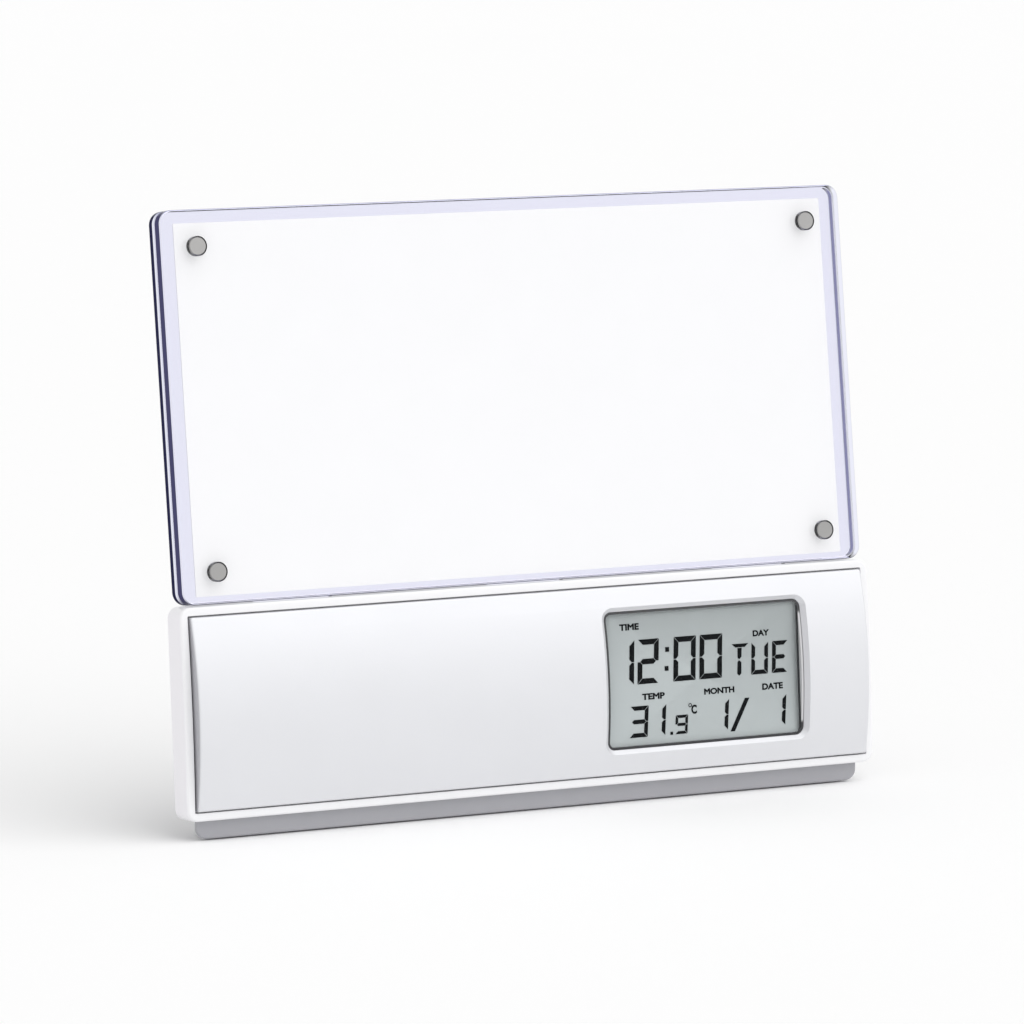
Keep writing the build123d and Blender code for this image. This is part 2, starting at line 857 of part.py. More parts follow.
def contact_tails(grow):
    """Tails from the two contacts through the bay's wall to the board; the lower one leaves halfway up."""
    heights, level = cell_places()
    x = -(bay_width - contact_thickness) / 2
    shapes = []
    stop = housing_plane.location * block(housing_width, housing_height, board_back, overall_depth)
    for y in (sum(heights) / 2, heights[1]):
        tail = Box(
            contact_thickness + 2 * grow,
            contact_tail_width + 2 * grow,
            cover_depth + bay_depth,
            align=(Align.CENTER, Align.CENTER, Align.MAX),
        )
        tail = pod_plane.location * (Pos(x, y, level) * tail)
        shapes.append(tail - stop)
    return shapes


def positive_contact():
    """Contact for the upper cell's nub, with its tail to the board."""
    heights, level = cell_places()
    return pod_plane.location * contact_button(-1, heights[1], level) + contact_tails(0)[1]


def negative_contact():
    """Spring contact for the lower cell, with its tail to the board."""
    heights, level = cell_places()
    middle = sum(heights) / 2
    body = contact_leaf(-1, heights[0], level)
    x = -(bay_width - contact_thickness) / 2
    riser = Box(contact_thickness, middle - heights[0] + contact_tail_width / 2, contact_tail_width,
                align=(Align.CENTER, Align.MIN, Align.CENTER))
    body += Pos(x, heights[0], level) * riser
    return pod_plane.location * body + contact_tails(0)[0]


def button_places():
    """Middles of the three buttons, spread between the pod's side and the housing's end."""
    return [pod_width / 2 + share * button_room for share in button_shares]


def button(x):
    """Round cap with a flange behind the cover's wall and a stem to the switch."""
    inner = cover_back + cover_wall + seat_gap
    cap = post(button_radius, cover_back - button_proud, inner + button_flange)
    cap = chamfer(cap.edges().group_by(Axis.Z)[0], button_bevel)
    cap += post(button_radius + button_flange_lip, inner, inner + button_flange)
    cap += post(button_stem_radius, inner, board_back - switch_height - plunger_proud)
    return housing_plane.location * (Pos(x, button_y) * cap)


def key_switches():
    """Three switch bodies on the board, each with a hole for its plunger."""
    shapes = []
    for x in button_places():
        body = slab(switch_size, switch_size, switch_corner, board_back - switch_height, board_back)
        body -= post(plunger_radius + round_fit, board_back - switch_height - overrun, plunger_floor())
        shapes.append(housing_plane.location * (Pos(x, button_y) * body))
    return shapes


def plunger_floor():
    """Bottom of the plunger's hole: deep enough for the travel."""
    return board_back - switch_height + plunger_sink + button_travel + fit


def plunger(x):
    """Plunger between the button's stem and the switch."""
    low = board_back - switch_height - plunger_proud
    pin = post(plunger_radius, low, board_back - switch_height + plunger_sink)
    return housing_plane.location * (Pos(x, button_y) * pin)


def board_screws():
    """Three screws through the board into the bezel's short bosses."""
    return [
        housing_plane.location * (Pos(px, py, board_back) * (Rot(180, 0, 0) * screw(board_screw_length)))
        for px, py in board_screw_places()
    ]


def cover_screws():
    """Four screws through the cover's bosses into the bezel's."""
    level = -bezel_depth - cover_screw_grip
    shank = cover_screw_grip + bezel_depth + web_back
    return [
        housing_plane.location * (Pos(px, py, level) * (Rot(180, 0, 0) * screw(shank)))
        for px, py in corners(cover_screw_x, cover_screw_y)
    ]


def in_housing(shapes):
    """Place a shape, or each of a list, in the housing frame."""
    if isinstance(shapes, list):
        return [housing_plane.location * shape for shape in shapes]
    return housing_plane.location * shapes


def write(name, shapes):
    """Write one sub-part; a list becomes a group of separate solids."""
    if isinstance(shapes, list):
        shapes = Compound(shapes)
    export_step(shapes, f"parts/{name}.step")


os.makedirs("parts", exist_ok=True)

write("bezel", bezel())
write("front_panel", in_housing(front_panel()))
write("display_gasket", in_housing(display_gasket()))
write("display_window", in_housing(display_window()))
write("display_glass", in_housing(display_glass()))
write("display_reflector", in_housing(display_reflector()))
write("display_holder", in_housing(display_holder()))
write("contact_strips", in_housing(contact_strips()))
write("circuit_board", in_housing(circuit_board()))
write("chip_cap", in_housing(chip_cap()))
write("clock_crystal", in_housing(clock_crystal()))
write("temperature_sensor", in_housing(temperature_sensor()))
write("board_screws", board_screws())
write("key_switches", key_switches())
write("rear_cover", rear_cover())
write("cover_screws", cover_screws())
write("battery_door", battery_door())
write("batteries", batteries())
write("bridge_contact", bridge_contact())
write("positive_contact", positive_contact())
write("negative_contact", negative_contact())
write("rubber_feet", rubber_feet())
write("rear_plate", rear_plate())
write("front_plate", front_plate())
write("photo_card", photo_card())
write("rear_magnets", magnets(-rear_plate_thickness, rear_magnet_length - rear_plate_thickness, False))
front_level = card_gap + front_plate_thickness
write("front_magnets", magnets(front_level - front_magnet_length, front_level, True))
for name, place in zip(("mode", "set", "adjust"), button_places()):
    write(f"{name}_button", button(place))
    write(f"{name}_plunger", plunger(place))
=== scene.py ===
import math

import bmesh
import bpy
import numpy as np
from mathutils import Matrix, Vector


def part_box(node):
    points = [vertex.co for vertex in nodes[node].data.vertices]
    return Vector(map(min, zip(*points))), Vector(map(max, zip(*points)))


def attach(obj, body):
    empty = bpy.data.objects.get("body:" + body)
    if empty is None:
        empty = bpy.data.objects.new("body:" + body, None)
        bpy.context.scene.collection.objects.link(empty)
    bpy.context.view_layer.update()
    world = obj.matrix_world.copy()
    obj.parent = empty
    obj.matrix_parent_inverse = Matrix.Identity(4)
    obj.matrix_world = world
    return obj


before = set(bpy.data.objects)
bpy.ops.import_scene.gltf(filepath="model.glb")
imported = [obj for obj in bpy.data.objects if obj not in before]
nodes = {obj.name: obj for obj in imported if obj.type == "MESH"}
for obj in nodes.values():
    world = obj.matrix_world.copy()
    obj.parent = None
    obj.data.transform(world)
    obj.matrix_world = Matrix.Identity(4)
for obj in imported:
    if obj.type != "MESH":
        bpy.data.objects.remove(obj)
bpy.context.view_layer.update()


# Bezel: the white front half of the housing, a shallow tray moulded in satin plastic.
# Its thin bowed rim stands round the silver panel, and the other pieces are built into it.
bezel_white = (0.88, 0.88, 0.895)
# Painted light: the rim's left side is given a lighter colour than its front
bezel_left_painted_light = (0.965, 0.95, 0.985)
bezel_roughness = 0.32
bezel_grain_size = 0.0006
bezel_grain_depth = 0.000004
# Cosines between which the rim's faces pass over to its left side, painted lighter as painted light
bezel_side_turn = (0.5, 0.95)
leftward = Vector((-1, 0, 0))

# Nearly all noise lies between these two values
noise_low, noise_high = 0.3, 0.7
# A surface's broad drift is this many grains wide, and changes its roughness by this share
drift_grains = 40
gloss_drift = 0.08


def new_material(name):
    """An empty node material, with its tree and its output node."""
    material = bpy.data.materials.new(name)
    material.use_nodes = True
    tree = material.node_tree
    tree.nodes.clear()
    output = tree.nodes.new("ShaderNodeOutputMaterial")
    return material, tree, output


def object_noise(tree, size):
    """Noise on Object coordinates, whose blobs are about size metres across."""
    place = tree.nodes.new("ShaderNodeTexCoord")
    noise = tree.nodes.new("ShaderNodeTexNoise")
    noise.inputs["Scale"].default_value = 1 / size
    tree.links.new(place.outputs["Object"], noise.inputs["Vector"])
    return noise.outputs["Fac"]


def ramped(tree, value, start, end, low=0.0, high=1.0):
    """Low where the value is at the start, high where it is at the end, in an even slope."""
    ramp = tree.nodes.new("ShaderNodeMapRange")
    ramp.inputs["From Min"].default_value = start
    ramp.inputs["From Max"].default_value = end
    ramp.inputs["To Min"].default_value = low
    ramp.inputs["To Max"].default_value = high
    tree.links.new(value, ramp.inputs["Value"])
    return ramp.outputs["Result"]


def coloured(tree, value, stops):
    """The colour for a value, blended between stops of a position and a colour."""
    ramp = tree.nodes.new("ShaderNodeValToRGB")
    while len(ramp.color_ramp.elements) < len(stops):
        ramp.color_ramp.elements.new(0.5)
    for element, (position, colour) in zip(ramp.color_ramp.elements, stops):
        element.position = position
        element.color = (*colour, 1)
    tree.links.new(value, ramp.inputs["Fac"])
    return ramp.outputs["Color"]


def calculated(tree, operation, first, second):
    """A sum, product, maximum or comparison of two values or outputs, held between 0 and 1."""
    node = tree.nodes.new("ShaderNodeMath")
    node.operation = operation
    node.use_clamp = True
    for socket, value in zip(node.inputs, (first, second)):
        if isinstance(value, (int, float)):
            socket.default_value = value
        else:
            tree.links.new(value, socket)
    return node.outputs[0]


def multiplied(tree, first, second):
    """The product of two values or outputs, held between 0 and 1."""
    return calculated(tree, "MULTIPLY", first, second)


def blended(tree, share, first, second):
    """The first colour where share is 0 and the second where it is 1."""
    node = tree.nodes.new("ShaderNodeMix")
    node.data_type = "RGBA"
    tree.links.new(share, node.inputs["Factor"])
    for socket, colour in ((node.inputs[6], first), (node.inputs[7], second)):
        if isinstance(colour, tuple):
            socket.default_value = (*colour, 1)
        else:
            tree.links.new(colour, socket)
    return node.outputs[2]


def measured(tree, output, direction):
    """A coordinate output of the object, measured along a direction."""
    place = tree.nodes.new("ShaderNodeTexCoord")
    product = tree.nodes.new("ShaderNodeVectorMath")
    product.operation = "DOT_PRODUCT"
    product.inputs[1].default_value = direction
    tree.links.new(place.outputs[output], product.inputs[0])
    return product.outputs["Value"]


def facing(tree, direction, low, high):
    """How far a face looks in a direction: 0 where the cosine is low, and 1 where it is high."""
    return ramped(tree, measured(tree, "Normal", direction), low, high)


def bumped(tree, shader, height, depth):
    """Raises the shader's surface by height times depth metres."""
    bump = tree.nodes.new("ShaderNodeBump")
    bump.inputs["Strength"].default_value = 1.0
    bump.inputs["Distance"].default_value = depth
    tree.links.new(height, bump.inputs["Height"])
    tree.links.new(bump.outputs["Normal"], shader.inputs["Normal"])


def unseen_ray(tree):
    """1 for shadow rays and for rays that have met a matt surface, and 0 for rays of sight."""
    ray = tree.nodes.new("ShaderNodeLightPath")
    return calculated(tree, "MAXIMUM", ray.outputs["Is Shadow Ray"], ray.outputs["Diffuse Depth"])


def let_through(tree, share, surface, tint=(1, 1, 1)):
    """The surface, of which a share is fully transparent and tinted."""
    thin = tree.nodes.new("ShaderNodeBsdfTransparent")
    if isinstance(tint, tuple):
        thin.inputs["Color"].default_value = (*tint, 1)
    else:
        tree.links.new(tint, thin.inputs["Color"])
    mix = tree.nodes.new("ShaderNodeMixShader")
    tree.links.new(share, mix.inputs["Fac"])
    tree.links.new(surface, mix.inputs[1])
    tree.links.new(thin.outputs["BSDF"], mix.inputs[2])
    return mix.outputs["Shader"]


def satin(
    name, colour, roughness, grain_size, grain_depth, change=0.985, metallic=0.0, coat=0.0,
    side=None, side_faces=None, gloss=0.5, passed=0.0,
):
    """Moulded, painted or plated surface: fine noise as grain, broad noise as drift in colour and gloss.

    The colour drifts down to its share change. Where side is given, the faces that side_faces picks
    have that colour. Passed is the share of the light of lamps and matt surfaces that the piece
    doesn't hold back.
    """
    material, tree, output = new_material(name)
    shader = tree.nodes.new("ShaderNodeBsdfPrincipled")
    shader.inputs["Metallic"].default_value = metallic
    shader.inputs["Coat Weight"].default_value = coat
    shader.inputs["Specular IOR Level"].default_value = gloss
    drift = object_noise(tree, drift_grains * grain_size)
    darker = tuple(c * change for c in colour)
    tone = coloured(tree, drift, [(noise_low, darker), (noise_high, colour)])
    if side:
        tone = blended(tree, side_faces(tree), tone, side)
    tree.links.new(tone, shader.inputs["Base Color"])
    smooth, rough = roughness * (1 - gloss_drift), roughness * (1 + gloss_drift)
    drifting = ramped(tree, drift, noise_low, noise_high, smooth, rough)
    tree.links.new(drifting, shader.inputs["Roughness"])
    bumped(tree, shader, object_noise(tree, grain_size), grain_depth)
    surface = shader.outputs["BSDF"]
    if passed:
        surface = let_through(tree, multiplied(tree, unseen_ray(tree), passed), surface)
    tree.links.new(surface, output.inputs["Surface"])
    return material


def dress(node, material):
    """Gives a CAD node one material all over."""
    slots = nodes[node].data.materials
    slots.clear()
    slots.append(material)


dress(
    "bezel",
    satin(
        "white_plastic", bezel_white, bezel_roughness, bezel_grain_size, bezel_grain_depth,
        side=bezel_left_painted_light, side_faces=lambda tree: facing(tree, leftward, *bezel_side_turn),
    ),
)


# Front panel: a convex plastic shell sprayed with fine silver paint, pegged to the bezel.
# The paint's flakes show as a faint sparkle, and its gloss is soft.
panel_silver = (0.725, 0.73, 0.755)
panel_roughness = 0.43
panel_metallic = 0.3
# Painted shade: the panel's left end is given a darker grey than its silver
panel_end_painted_shade = (0.50, 0.50, 0.53)
flake_size = 0.0004
flake_depth = 0.000009
# Cosines between which the panel's faces pass over to its left end, painted grey as painted shade
panel_end_turn = (0.6, 0.9)

dress(
    "front_panel",
    satin(
        "silver_paint", panel_silver, panel_roughness, flake_size, flake_depth,
        metallic=panel_metallic, side=panel_end_painted_shade,
        side_faces=lambda tree: facing(tree, leftward, *panel_end_turn),
    ),
)


# Display liner and holder: a rubbery frame in the panel's window, dark beside the pane, with its left
# lip painted dark as painted shade, and grey elsewhere; the black plastic frame that clips the cell to
# the board, with the soft contact strips beside it.
liner_dark = (0.035, 0.036, 0.04)
liner_grey = (0.60, 0.60, 0.61)
liner_roughness = 0.42
liner_dark_height = 0.00065
# Width of the liner's left lip, painted dark as painted shade
liner_painted_shade_lip = 0.0006
liner_fade = 0.0001
holder_black = (0.02, 0.02, 0.022)
holder_roughness = 0.45
strip_grey = (0.22, 0.22, 0.23)
strip_roughness = 0.6
rubber_grain_size = 0.0004
rubber_grain_depth = 0.000008

pane_low, pane_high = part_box("display_window")
pane_centre = (pane_low + pane_high) / 2
housing_lean = math.radians(4.5)
along = Vector((1, 0, 0))
up = Vector((0, math.sin(housing_lean), math.cos(housing_lean)))
out = Vector((0, -math.cos(housing_lean), math.sin(housing_lean)))


def liner_grey_part(tree):
    """1 on the liner away from the pane; 0 beside the pane and on the left lip, painted shade."""
    foot = pane_centre.dot(out) + liner_dark_height
    above = ramped(tree, measured(tree, "Object", out), foot, foot + liner_fade)
    left = pane_low.x + liner_painted_shade_lip
    beside = ramped(tree, measured(tree, "Object", along), left, left + liner_fade)
    return multiplied(tree, above, beside)


liner_rubber = satin(
    "liner_rubber", liner_dark, liner_roughness, rubber_grain_size, rubber_grain_depth,
    change=0.9, side=liner_grey, side_faces=liner_grey_part,
)
dress("display_gasket", liner_rubber)
holder_plastic = satin(
    "holder_plastic", holder_black, holder_roughness, rubber_grain_size, rubber_grain_depth,
    change=0.9,
)
dress("display_holder", holder_plastic)
strip_rubber = satin(
    "strip_rubber", strip_grey, strip_roughness, rubber_grain_size, rubber_grain_depth,
    change=0.9,
)
dress("contact_strips", strip_rubber)


# Liquid crystal cell: two sheets of glass with a grey-green polariser over a silver reflector.
# Its face is matt and even, and its reflector film lies behind it.
cell_grey = (0.45, 0.49, 0.495)
cell_roughness = 0.5
film_silver = (0.66, 0.68, 0.67)
film_roughness = 0.35
film_metallic = 0.9
polariser_grain_size = 0.0003
polariser_grain_depth = 0.000002

polariser = satin(
    "cell_face", cell_grey, cell_roughness, polariser_grain_size, polariser_grain_depth,
    change=0.97,
)
dress("display_glass", polariser)
reflector_film = satin(
    "reflector_film", film_silver, film_roughness, polariser_grain_size, polariser_grain_depth,
    change=0.97, metallic=film_metallic,
)
dress("display_reflector", reflector_film)


# Digits on the cell: thin dark shapes in the liquid crystal, just in front of the glass.
# Each digit is built of bars with mitred ends, in millimetres from the window's middle.
mark_black = (0.006, 0.007, 0.008)
mark_roughness = 0.5
mark_gloss = 0.05
mark_gap = 0.00003
mark_thickness = 0.00002
mark_shift = (0.25, 0.125)
bar_gap = 0.07
pane_thickness = 0.0008
cell_face = pane_centre - out * (pane_thickness / 2 - mark_gap)


def on_cell(points):
    """Points on the cell's face for places (x, y) in millimetres from the window's middle."""
    flat = (np.asarray(points, float) + mark_shift) / 1000
    return np.array(cell_face) + flat[:, :1] * np.array(along) + flat[:, 1:] * np.array(up)


# Bars of a seven-bar digit: a is the top, then clockwise, and g is the middle
digit_bars = {
    "0": "abcdef", "1": "bc", "2": "abged", "3": "abgcd", "9": "abfgcd",
    "E": "afged", "U": "bcdef",
}


def digit(sign, left, low, width, height, stroke, slant):
    """The bars of one digit in a box: a top, a side and a middle bar, mirrored for the others.

    The bars' ends are cut at 45 degrees with a thin gap between neighbours. The digit leans over by
    adding slant times its height to each point's place across.
    """
    w, h, s, g = width / 2, height / 2, stroke, bar_gap
    top = [(-w + g, h), (w - g, h), (w - s - g, h - s), (-w + s + g, h - s)]
    side = [(-w, h - g), (-w, g), (-w + s / 2, g), (-w + s, s / 2 + g), (-w + s, h - s - g)]
    middle = [(-w + s / 2 + g, 0), (-w + s + g, -s / 2), (w - s - g, -s / 2), (w - s / 2 - g, 0)]
    middle += [(w - s - g, s / 2), (-w + s + g, s / 2)]
    bars = {
        "a": (top, 1, 1), "d": (top, 1, -1), "g": (middle, 1, 1),
        "f": (side, 1, 1), "b": (side, -1, 1), "e": (side, 1, -1), "c": (side, -1, -1),
    }
    outlines = []
    for name in digit_bars[sign]:
        outline, across, upward = bars[name]
        points = np.array(outline) * (across, upward) + (w, h)
        points[:, 0] += slant * points[:, 1]
        outlines.append(points + (left, low))
    return outlines


def block(middle, width, height):
    """An upright rectangle round its middle: its four corners are half its sizes away from there."""
    corners = np.array([(-1, -1), (1, -1), (1, 1), (-1, 1)])
    return np.array(middle) + corners * (width / 2, height / 2)


# Each row of signs has its foot, height, stroke and slant, and each sign its left edge and width
clock_row = (-1.25, 9.4, 1.15, 0.05)
clock_signs = [("1", -22.3, 5.45), ("2", -16.0, 5.05), ("0", -7.33, 5.38), ("0", -1.0, 5.5)]
day_row = (-1.15, 6.8, 0.92, 0.05)
day_signs = [("U", 11.7, 4.1), ("E", 16.8, 3.8)]
lower_row = (-12.45, 6.6, 0.9, 0.08)
lower_signs = [("3", -18.4, 4.4), ("1", -13.6, 3.85), ("1", 1.7, 3.85), ("1", 15.8, 3.85)]
tenths_row = (-12.45, 4.0, 0.62, 0.08)
tenths_signs = [("9", -7.35, 3.0)]
rows = [
    (clock_row, clock_signs), (day_row, day_signs), (lower_row, lower_signs),
    (tenths_row, tenths_signs),
]
colon = [block((-8.55, 5.65), 0.95, 1.0), block((-8.85, 1.65), 0.95, 1.0)]
decimal_point = [block((-8.15, -12.15), 0.65, 0.65)]
letter_t = [
    np.array([(7.15, 5.65), (11.25, 5.65), (10.35, 4.9), (8.05, 4.9)]),
    np.array([(8.55, 4.75), (8.5, 2.7), (8.9, 2.35), (9.45, 2.85), (9.6, 4.75)]),
    np.array([(8.85, 2.15), (8.45, 1.8), (8.3, -0.7), (8.75, -1.15), (9.3, -0.7), (9.4, 1.7)]),
]
slash = [np.array([(6.15, -12.87), (7.25, -12.87), (11.05, -5.98), (9.95, -5.98)])]

marks = []
for (foot, height, stroke, slant), signs in rows:
    for sign, left, width in signs:
        marks += digit(sign, left, foot, width, height, stroke, slant)
marks += colon + decimal_point + letter_t + slash


def raised(name, outlines):
    """A mesh of thin plates: each outline on the cell's face, carried forwards by the thickness."""
    verts, faces = [], []
    for outline in outlines:
        steps = np.roll(outline, -1, 0) - outline
        next_steps = np.roll(steps, -1, 0)
        turn = (steps[:, 0] * next_steps[:, 1] - steps[:, 1] * next_steps[:, 0]).sum()
        back = on_cell(outline if turn > 0 else outline[::-1])
        count, first = len(outline), len(verts)
        this = np.arange(count)
        following = np.roll(this, -1)
        sides = np.column_stack([this, following, count + following, count + this])
        verts += [*back, *(back + np.array(out) * mark_thickness)]
        faces += [(first + count + this).tolist(), (first + this[::-1]).tolist()]
        faces += (first + sides).tolist()
    mesh = bpy.data.meshes.new(name)
    mesh.from_pydata([tuple(v) for v in verts], [], faces)
    return mesh


display_black = satin(
    "display_black", mark_black, mark_roughness, polariser_grain_size, polariser_grain_depth,
    change=0.9, gloss=mark_gloss,
)


def on_display(name, mesh):
    """A mark of the display as an object of its own, which rides on the clock."""
    piece = bpy.data.objects.new(name, mesh)
    bpy.context.scene.collection.objects.link(piece)
    mesh.materials.clear()
    mesh.materials.append(display_black)
    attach(piece, "clock")


on_display("display_digits", raised("display_digits", marks))


# Words over the readings, and the degree sign: plain capitals a little bolder than the font.
# Each word has its left edge, right edge, foot and cap height in millimetres from the window's middle.
words = [
    ("TIME", -19.9, -15.2, 10.3, 1.38),
    ("DAY", 12.4, 16.45, 6.95, 1.32),
    ("TEMP", -15.0, -9.5, -4.65, 1.35),
    ("MONTH", 0.05, 7.45, -4.6, 1.33),
    ("DATE", 14.3, 19.4, -4.6, 1.38),
    ("C", -3.2, -1.85, -8.45, 1.95),
]
letter_boldness = 0.046
ring_middle = (-3.45, -6.55)
ring_radius = 0.44
ring_stroke = 0.18
ring_steps = 24


def lettering(word, left, right, foot, height):
    """A word as a mesh with bevelled edges: the font's shapes, stretched to fill the given box."""
    curve = bpy.data.curves.new("word_" + word, "FONT")
    curve.body = word
    curve.bevel_depth = letter_boldness
    curve.bevel_resolution = 0
    text = bpy.data.objects.new("word_" + word, curve)
    bpy.context.scene.collection.objects.link(text)
    bpy.context.view_layer.update()
    mesh = bpy.data.meshes.new_from_object(text.evaluated_get(bpy.context.evaluated_depsgraph_get()))
    bpy.data.objects.remove(text)
    shape = bmesh.new()
    shape.from_mesh(mesh)
    behind = [v for v in shape.verts if v.co.z < -letter_boldness / 2]
    bmesh.ops.delete(shape, geom=behind, context="VERTS")
    shape.to_mesh(mesh)
    shape.free()
    points = np.zeros(len(mesh.vertices) * 3)
    mesh.vertices.foreach_get("co", points)
    points = points.reshape(-1, 3)
    low, high = points[:, :2].min(0), points[:, :2].max(0)
    placed = (points[:, :2] - low) / (high - low) * (right - left, height) + (left, foot)
    rise = points[:, 2:] / letter_boldness * mark_thickness
    mesh.vertices.foreach_set("co", (on_cell(placed) + np.array(out) * rise).ravel())
    mesh.update()
    return mesh


for word, left, right, foot, height in words:
    on_display("label_" + word.lower(), lettering(word, left, right, foot, height))

# The degree sign is a flat ring: two circles of points, joined by a band of faces
turns = np.linspace(0, 2 * math.pi, ring_steps, endpoint=False)
circle = np.column_stack([np.cos(turns), np.sin(turns)])
ring_flat = np.vstack([circle * (ring_radius - ring_stroke), circle * ring_radius]) + ring_middle
ring_points = on_cell(ring_flat) + np.array(out) * mark_thickness
this = np.arange(ring_steps)
following = np.roll(this, -1)
ring_faces = np.column_stack([this, ring_steps + this, ring_steps + following, following]).tolist()
ring_mesh = bpy.data.meshes.new("degree_ring")
ring_mesh.from_pydata([tuple(p) for p in ring_points], [], ring_faces)
on_display("degree_ring", ring_mesh)


# Window pane: a thin sheet of clear plastic with a glare-free coat, hence its low refraction.
# It lies over the cell, inside the liner, and light passes it unbent, so that the cell is lit.
pane_waviness = 0.0000005
pane_wave_size = 0.004
pane_ior = 1.05


def clear(name, waviness, wave_size, ior, absorbed=None, density=0.0, edge=None):
    """Polished clear plastic: it refracts, and colours what is seen through it by the way inside it.

    Shadow rays and rays from matt surfaces pass straight through, untinted, so that what lies behind
    is lit. Where edge is given, it paints reflections and shade on the edges and says what passes them
    straight, and how tinted.
    """
    material, tree, output = new_material(name)
    shader = tree.nodes.new("ShaderNodeBsdfPrincipled")
    shader.inputs["Base Color"].default_value = (1, 1, 1, 1)
    shader.inputs["Roughness"].default_value = 0.0
    shader.inputs["IOR"].default_value = ior
    shader.inputs["Transmission Weight"].default_value = 1.0
    bumped(tree, shader, object_noise(tree, wave_size), waviness)
    passing, tint = unseen_ray(tree), (1, 1, 1)
    if edge:
        seen_through, tint = edge(tree, shader)
        passing = calculated(tree, "MAXIMUM", passing, seen_through)
    surface = let_through(tree, passing, shader.outputs["BSDF"], tint)
    tree.links.new(surface, output.inputs["Surface"])
    if absorbed:
        body = tree.nodes.new("ShaderNodeVolumeAbsorption")
        body.inputs["Color"].default_value = (*absorbed, 1)
        body.inputs["Density"].default_value = density
        seen_body = tree.nodes.new("ShaderNodeMixShader")
        tree.links.new(unseen_ray(tree), seen_body.inputs["Fac"])
        tree.links.new(body.outputs["Volume"], seen_body.inputs[1])
        tree.links.new(seen_body.outputs["Shader"], output.inputs["Volume"])
    return material


dress("display_window", clear("pane_acrylic", pane_waviness, pane_wave_size, pane_ior))


# Circuit board and what is soldered to it: green resist on fibreglass, black potting over the chip,
# a plated crystal can, a dark sensor bead, black switches with their plungers, and zinc screws.
board_green = (0.035, 0.16, 0.075)
board_roughness = 0.35
potting_black = (0.015, 0.015, 0.016)
potting_roughness = 0.3
lacquer_roughness = 0.4
switch_roughness = 0.45
plated_steel = (0.58, 0.58, 0.57)
steel_roughness = 0.3
board_grain = 0.0005
board_grain_depth = 0.00001
lacquer_grain_depth = 0.000004
can_grain_depth = 0.000003
switch_grain_depth = 0.000006

board_resist = satin(
    "board_resist", board_green, board_roughness, board_grain, board_grain_depth,
    change=0.8,
)
dress("circuit_board", board_resist)
potting = satin(
    "potting", potting_black, potting_roughness, board_grain, board_grain_depth,
    change=0.8,
)
dress("chip_cap", potting)
sensor_lacquer = satin(
    "sensor_lacquer", potting_black, lacquer_roughness, board_grain, lacquer_grain_depth,
    change=0.8,
)
dress("temperature_sensor", sensor_lacquer)
crystal_can = satin(
    "crystal_can", plated_steel, steel_roughness, board_grain, can_grain_depth,
    change=0.95, metallic=1.0,
)
dress("clock_crystal", crystal_can)
switch_plastic = satin(
    "switch_plastic", holder_black, switch_roughness, board_grain, switch_grain_depth,
    change=0.85,
)
for node in ("key_switches", "mode_plunger", "set_plunger", "adjust_plunger"):
    dress(node, switch_plastic)
screw_zinc = satin(
    "screw_zinc", plated_steel, steel_roughness, board_grain, lacquer_grain_depth,
    change=0.9, metallic=1.0,
)
dress("board_screws", screw_zinc)
dress("cover_screws", screw_zinc)


# Rear cover: the silver-grey back half with its foot and battery pod, moulded with a fine texture.
# The battery door and the three round buttons are of the same family of plastic.
cover_grey = (0.385, 0.385, 0.41)
door_grey = (0.375, 0.375, 0.395)
button_grey = (0.20, 0.20, 0.215)
cover_roughness = 0.45
button_roughness = 0.4
texture_size = 0.0005
texture_depth = 0.000012
button_texture_depth = 0.000006

cover_plastic = satin(
    "cover_plastic", cover_grey, cover_roughness, texture_size, texture_depth,
    change=0.975,
)
dress("rear_cover", cover_plastic)
door_plastic = satin(
    "door_plastic", door_grey, cover_roughness, texture_size, texture_depth,
    change=0.975,
)
dress("battery_door", door_plastic)
button_plastic = satin(
    "button_plastic", button_grey, button_roughness, texture_size, button_texture_depth,
    change=0.95,
)
for node in ("mode_button", "set_button", "adjust_button"):
    dress(node, button_plastic)


# Battery contacts and cells: nickel-plated leaves, and two plain cells in a dark glossy wrap.
# The wrap has no print; the cells' ends and nubs are part of the same turned can.
nickel = (0.62, 0.60, 0.56)
nickel_roughness = 0.28
wrap_dark = (0.05, 0.055, 0.065)
wrap_roughness = 0.25
wrap_coat = 0.4

contact_nickel = satin(
    "contact_nickel", nickel, nickel_roughness, board_grain, lacquer_grain_depth,
    change=0.92, metallic=1.0,
)
for node in ("bridge_contact", "positive_contact", "negative_contact"):
    dress(node, contact_nickel)
cell_wrap = satin(
    "cell_wrap", wrap_dark, wrap_roughness, board_grain, can_grain_depth,
    change=0.9, coat=wrap_coat,
)
dress("batteries", cell_wrap)


# Rubber feet: four dark pads pressed into shallow seats under the foot and the pod.
# They are matt and coarser in grain than the other rubber, and carry the clock.
foot_black = (0.03, 0.03, 0.032)
foot_roughness = 0.75
foot_grain_depth = 0.00002

foot_rubber = satin(
    "foot_rubber", foot_black, foot_roughness, rubber_grain_size, foot_grain_depth,
    change=0.85,
)
dress("rubber_feet", foot_rubber)


# Photo holder: two clear acrylic plates with polished round edges, faintly lavender in their depth.
# The rear one stands in the housing on its tongues; the front one is held to it by magnets.
# Their polished edges act as mirrors whose colours are painted reflections: dark on the flat sides,
# bright on the roundings beside them.
plate_waviness = 0.0000003
plate_wave_size = 0.012
acrylic_ior = 1.49
deep_lavender = (0.30, 0.31, 0.80)
front_depth_of_colour = 7.0
rear_depth_of_colour = 120.0
frame_lean = math.radians(7.7)
plate_normal = Vector((0, -math.cos(frame_lean), math.sin(frame_lean)))
plate_up = Vector((0, math.sin(frame_lean), math.cos(frame_lean)))
edge_roughness = 0.12
